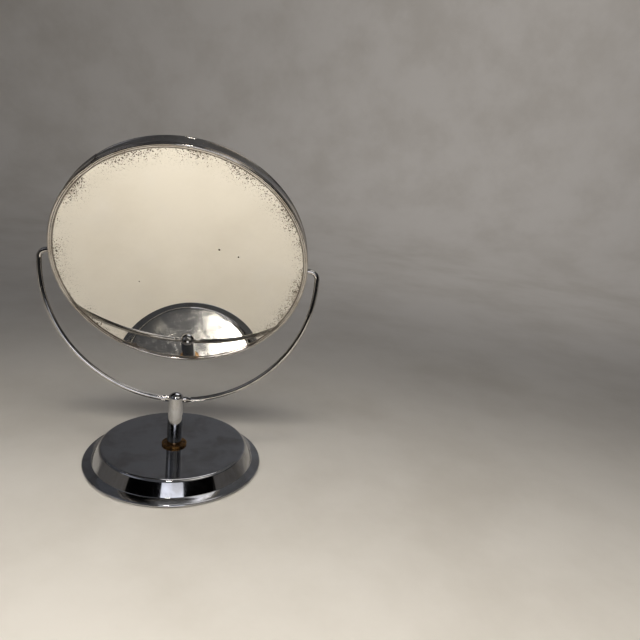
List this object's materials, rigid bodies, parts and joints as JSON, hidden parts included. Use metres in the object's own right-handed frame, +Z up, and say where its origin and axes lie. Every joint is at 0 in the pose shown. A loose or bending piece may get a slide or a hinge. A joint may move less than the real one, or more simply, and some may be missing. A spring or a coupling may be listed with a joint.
{
  "type": "table shaving mirror",
  "caption": "Free-standing round mirror, plain on one side and magnifying on the other, tilting in a wire yoke on a swivelling post with a round weighted base.",
  "frame": {"origin": "on the table, under the middle of the post and base", "axes": "+Z up; the yoke and the head's pivots lie along X, with +X to the viewer's right; -Y is the front, which the plain mirror faces at rest"},
  "size_m": [0.1582, 0.107, 0.1933],
  "materials": {
    "chrome_plate": "polished chrome plate with fine scratches",
    "bright_steel": "bright zinc-plated turned steel",
    "spring_steel": "oiled spring steel",
    "cast_ballast": "as-cast grey iron",
    "painted_cover": "black lacquered sheet steel",
    "felt": "pressed wool felt",
    "brass": "dull aged brass",
    "plain_mirror": "silvered plate glass, foxed near the edge",
    "magnifying_mirror": "silvered concave glass",
    "card": "grey-brown pressed board"
  },
  "bodies": {
    "base": {"base_shell": "chrome_plate", "ballast_disc": "cast_ballast", "bottom_cover": "painted_cover", "felt_pad": "felt", "brass_washer": "brass", "spring_washer": "spring_steel"},
    "stand": {"post": "chrome_plate", "yoke_wire": "chrome_plate", "pivot_screw": "bright_steel", "plain_washer": "bright_steel"},
    "head": {"rim_band": "chrome_plate", "rim_joint_clip": "spring_steel", "left_pivot_bush": "brass", "right_pivot_bush": "brass", "front_mirror": "plain_mirror", "backing_card": "card", "spacer_ring": "card", "rear_mirror": "magnifying_mirror"}
  },
  "joints": [
    {"name": "post_swivel", "type": "hinge", "parent": "base", "child": "stand", "pos_m": [0, 0, 0.01], "axis": [0, 0, 1], "continuous": true},
    {"name": "head_tilt", "type": "hinge", "parent": "stand", "child": "head", "pos_m": [0, 0, 0.12545], "axis": [1, 0, 0], "continuous": true}
  ]
}
